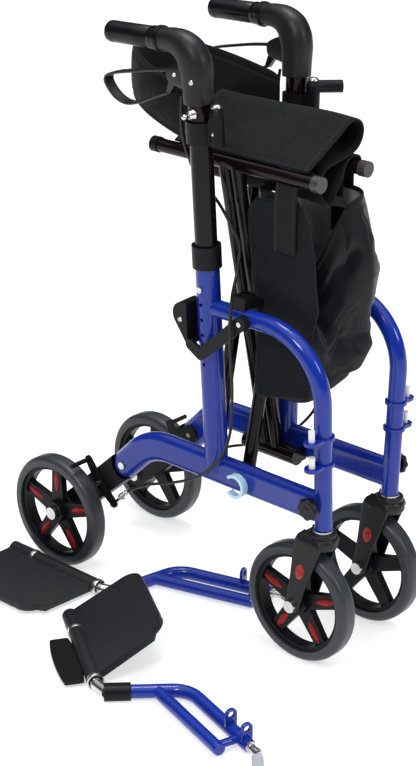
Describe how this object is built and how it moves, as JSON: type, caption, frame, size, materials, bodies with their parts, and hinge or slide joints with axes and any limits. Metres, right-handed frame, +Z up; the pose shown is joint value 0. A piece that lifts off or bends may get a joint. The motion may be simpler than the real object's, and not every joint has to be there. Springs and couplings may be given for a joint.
{
  "type": "rollator transport chair",
  "caption": "Folding rollator transport chair, shown folded: arched side frames, crossed braces, cloth seat, bag, back band, hand brakes and loose swing-off footrests.",
  "frame": {"origin": "middle of the bounding box on the floor, footrests included", "axes": "+X forward, +Y to the chair's left, +Z up"},
  "size_m": [0.7948, 0.5526, 0.9796],
  "materials": {
    "blue_paint": "gloss",
    "black_plastic": "satin",
    "black_tube": "gloss",
    "zinc": "satin",
    "grey_tyre": "matte",
    "grip_rubber": "matte",
    "black_cloth": "matte",
    "black_cable": "satin",
    "pale_clip": "gloss",
    "clear_plastic": "gloss",
    "grey_plastic": "satin"
  },
  "bodies": {
    "right_frame": {"right_frame": "blue_paint", "right_post_collar": "black_plastic", "right_seat_saddle": "black_plastic", "right_axle_carrier": "black_plastic", "right_frame_fittings": "zinc", "right_pivot_tube": "black_tube", "right_brake_cable": "black_cable", "rail_clip": "pale_clip"},
    "right_lock": {"right_lock_lever": "black_plastic"},
    "right_handle": {"right_handle_tube": "black_tube", "right_elbow": "black_plastic", "right_grip": "grip_rubber", "right_back_bracket": "black_plastic", "backrest_band": "black_cloth"},
    "right_lever": {"right_brake_lever": "black_tube"},
    "right_brake": {"right_brake_arm": "zinc"},
    "right_caster": {"right_caster_fork": "black_plastic", "right_caster_bolts": "zinc"},
    "right_front_wheel": {"right_front_rim": "black_plastic", "right_front_tyre": "grey_tyre"},
    "right_rear_wheel": {"right_rear_rim": "black_plastic", "right_rear_tyre": "grey_tyre"},
    "left_frame": {"left_frame": "blue_paint", "left_post_collar": "black_plastic", "left_seat_saddle": "black_plastic", "left_axle_carrier": "black_plastic", "left_frame_fittings": "zinc", "left_pivot_tube": "black_tube", "left_brake_cable": "black_cable"},
    "left_lock": {"left_lock_lever": "black_plastic"},
    "left_handle": {"left_handle_tube": "black_tube", "left_elbow": "black_plastic", "left_grip": "grip_rubber", "left_back_bracket": "black_plastic"},
    "left_lever": {"left_brake_lever": "black_tube"},
    "left_brake": {"left_brake_arm": "zinc"},
    "left_caster": {"left_caster_fork": "black_plastic", "left_caster_bolts": "zinc"},
    "left_front_wheel": {"left_front_rim": "black_plastic", "left_front_tyre": "grey_tyre"},
    "left_rear_wheel": {"left_rear_rim": "black_plastic", "left_rear_tyre": "grey_tyre"},
    "outer_brace": {"brace_outer": "black_tube", "outer_rail_caps": "grey_plastic", "cross_bolt": "zinc"},
    "inner_brace": {"brace_inner": "black_tube", "inner_rail_caps": "grey_plastic"},
    "seat_near": {"seat_sling": "black_cloth", "bag": "black_cloth"},
    "seat_far": {"bag_far_loops": "black_cloth"},
    "band_end": {"band_end": "black_cloth"},
    "right_foot": {"right_hanger": "blue_paint"},
    "right_plate": {"right_footplate": "black_plastic"},
    "right_latch": {"right_latch": "clear_plastic"},
    "left_foot": {"left_hanger": "blue_paint"},
    "left_plate": {"left_footplate": "black_plastic"},
    "left_latch": {"left_latch": "clear_plastic"}
  },
  "joints": [
    {"name": "fold", "type": "hinge", "parent": "right_frame", "child": "outer_brace", "pos_m": [0.0356, 0.0719, 0.263], "axis": [-1, 0, 0], "range_deg": [0, 40.01], "deforming": ["seat_sling", "bag", "bag_far_loops", "backrest_band", "band_end"]},
    {"name": "cross", "type": "hinge", "parent": "outer_brace", "child": "inner_brace", "pos_m": [0.0356, 0.1229, 0.50774], "axis": [1, 0, 0], "range_deg": [0, 80.04], "deforming": ["seat_sling", "bag", "bag_far_loops", "backrest_band", "band_end"]},
    {"name": "left_fold", "type": "hinge", "parent": "inner_brace", "child": "left_frame", "pos_m": [0.0356, 0.1739, 0.263], "axis": [-1, 0, 0], "range_deg": [0, 40.02], "deforming": ["seat_sling", "bag", "bag_far_loops", "backrest_band", "band_end"]},
    {"name": "seat_near_turn", "type": "hinge", "parent": "inner_brace", "child": "seat_near", "pos_m": [0.0356, 0.06762, 0.77304], "axis": [-1, 0, 0], "range_deg": [0, 40.02], "deforming": ["seat_sling", "bag", "bag_far_loops", "backrest_band", "band_end"]},
    {"name": "seat_far_slide", "type": "slide", "parent": "seat_near", "child": "seat_far", "axis": [0, 1, 0], "range_m": [0, 0.31548], "deforming": ["seat_sling", "bag", "bag_far_loops", "backrest_band", "band_end"]},
    {"name": "band_end_slide", "type": "slide", "parent": "right_handle", "child": "band_end", "axis": [0, 1, 0], "range_m": [0, 0.29105], "deforming": ["seat_sling", "bag", "bag_far_loops", "backrest_band", "band_end"]},
    {"name": "right_lock_turn", "type": "hinge", "parent": "right_frame", "child": "right_lock", "pos_m": [0.1156, 0.02524, 0.55271], "axis": [0, 0.999, 0.0454], "range_deg": [0, 10]},
    {"name": "right_handle_slide", "type": "slide", "parent": "right_frame", "child": "right_handle", "axis": [-0.0209, -0.0454, 0.9988], "range_m": [-0.125, 0], "deforming": ["right_brake_cable", "left_brake_cable", "backrest_band", "band_end"]},
    {"name": "right_lever_squeeze", "type": "hinge", "parent": "right_handle", "child": "right_lever", "pos_m": [-0.02075, 0.00901, 0.9103], "axis": [0, 0.999, 0.0454], "range_deg": [0, 10], "stiffness_Nm_per_rad": 2},
    {"name": "right_brake_turn", "type": "hinge", "parent": "right_frame", "child": "right_brake", "pos_m": [-0.2204, 0.0379, 0.169], "axis": [0, -1, 0], "range_deg": [0, 18.01], "deforming": ["right_brake_cable"]},
    {"name": "right_caster_swivel", "type": "hinge", "parent": "right_frame", "child": "right_caster", "pos_m": [0.2546, 0.0379, 0.24], "axis": [0, 0, 1], "continuous": true},
    {"name": "right_front_roll", "type": "hinge", "parent": "right_caster", "child": "right_front_wheel", "pos_m": [0.2146, 0.0379, 0.1], "axis": [0, 1, 0], "continuous": true},
    {"name": "right_rear_roll", "type": "hinge", "parent": "right_frame", "child": "right_rear_wheel", "pos_m": [-0.2974, 0.0009, 0.1], "axis": [0, 1, 0], "continuous": true},
    {"name": "left_lock_turn", "type": "hinge", "parent": "left_frame", "child": "left_lock", "pos_m": [0.1156, 0.22056, 0.55271], "axis": [0, 0.999, -0.0454], "range_deg": [0, 10]},
    {"name": "left_handle_slide", "type": "slide", "parent": "left_frame", "child": "left_handle", "axis": [-0.0209, 0.0454, 0.9988], "range_m": [-0.1251, 0], "deforming": ["right_brake_cable", "left_brake_cable", "backrest_band", "band_end"]},
    {"name": "left_lever_squeeze", "type": "hinge", "parent": "left_handle", "child": "left_lever", "pos_m": [-0.02075, 0.23679, 0.9103], "axis": [0, 0.999, -0.0454], "range_deg": [0, 10], "stiffness_Nm_per_rad": 2},
    {"name": "left_brake_turn", "type": "hinge", "parent": "left_frame", "child": "left_brake", "pos_m": [-0.2204, 0.2079, 0.169], "axis": [0, -1, 0], "range_deg": [0, 18.01], "deforming": ["left_brake_cable"]},
    {"name": "left_caster_swivel", "type": "hinge", "parent": "left_frame", "child": "left_caster", "pos_m": [0.2546, 0.2079, 0.24], "axis": [0, 0, -1], "continuous": true},
    {"name": "left_front_roll", "type": "hinge", "parent": "left_caster", "child": "left_front_wheel", "pos_m": [0.2146, 0.2079, 0.1], "axis": [0, 1, 0], "continuous": true},
    {"name": "left_rear_roll", "type": "hinge", "parent": "left_frame", "child": "left_rear_wheel", "pos_m": [-0.2974, 0.2449, 0.1], "axis": [0, 1, 0], "continuous": true},
    {"name": "right_foot_lift", "type": "slide", "parent": "right_frame", "child": "right_foot", "axis": [0, 0, 1], "range_m": [0, 0.12]},
    {"name": "right_plate_turn", "type": "hinge", "parent": "right_foot", "child": "right_plate", "pos_m": [-0.1434, -0.1311, 0.013], "axis": [0.8387, -0.5446, 0], "range_deg": [-30, 60]},
    {"name": "right_latch_turn", "type": "hinge", "parent": "right_foot", "child": "right_latch", "pos_m": [0.3384, -0.22571, 0.013], "axis": [-0.9563, 0.2924, 0], "range_deg": [0, 40]},
    {"name": "left_foot_lift", "type": "slide", "parent": "right_frame", "child": "left_foot", "axis": [0, 0, 1], "range_m": [0, 0.12]},
    {"name": "left_plate_turn", "type": "hinge", "parent": "left_foot", "child": "left_plate", "pos_m": [-0.3894, -0.0401, 0.013], "axis": [-1, 0, 0], "range_deg": [0, 90]},
    {"name": "left_latch_turn", "type": "hinge", "parent": "left_foot", "child": "left_latch", "pos_m": [0.06619, 0.14296, 0.013], "axis": [-0.9613, -0.2756, 0], "range_deg": [0, 40]}
  ],
  "couplings": [
    {"joint": "cross", "follows": "fold", "ratio": 2},
    {"joint": "left_fold", "follows": "fold", "ratio": 1},
    {"joint": "seat_near_turn", "follows": "fold", "ratio": 1},
    {"joint": "seat_far_slide", "follows": "fold", "m_per_rad": 0.45145},
    {"joint": "band_end_slide", "follows": "fold", "m_per_rad": 0.41646},
    {"joint": "right_brake_turn", "follows": "right_lever_squeeze", "ratio": 1.8},
    {"joint": "left_brake_turn", "follows": "left_lever_squeeze", "ratio": 1.8},
    {"joint": "left_handle_slide", "follows": "right_handle_slide", "ratio": 1}
  ]
}
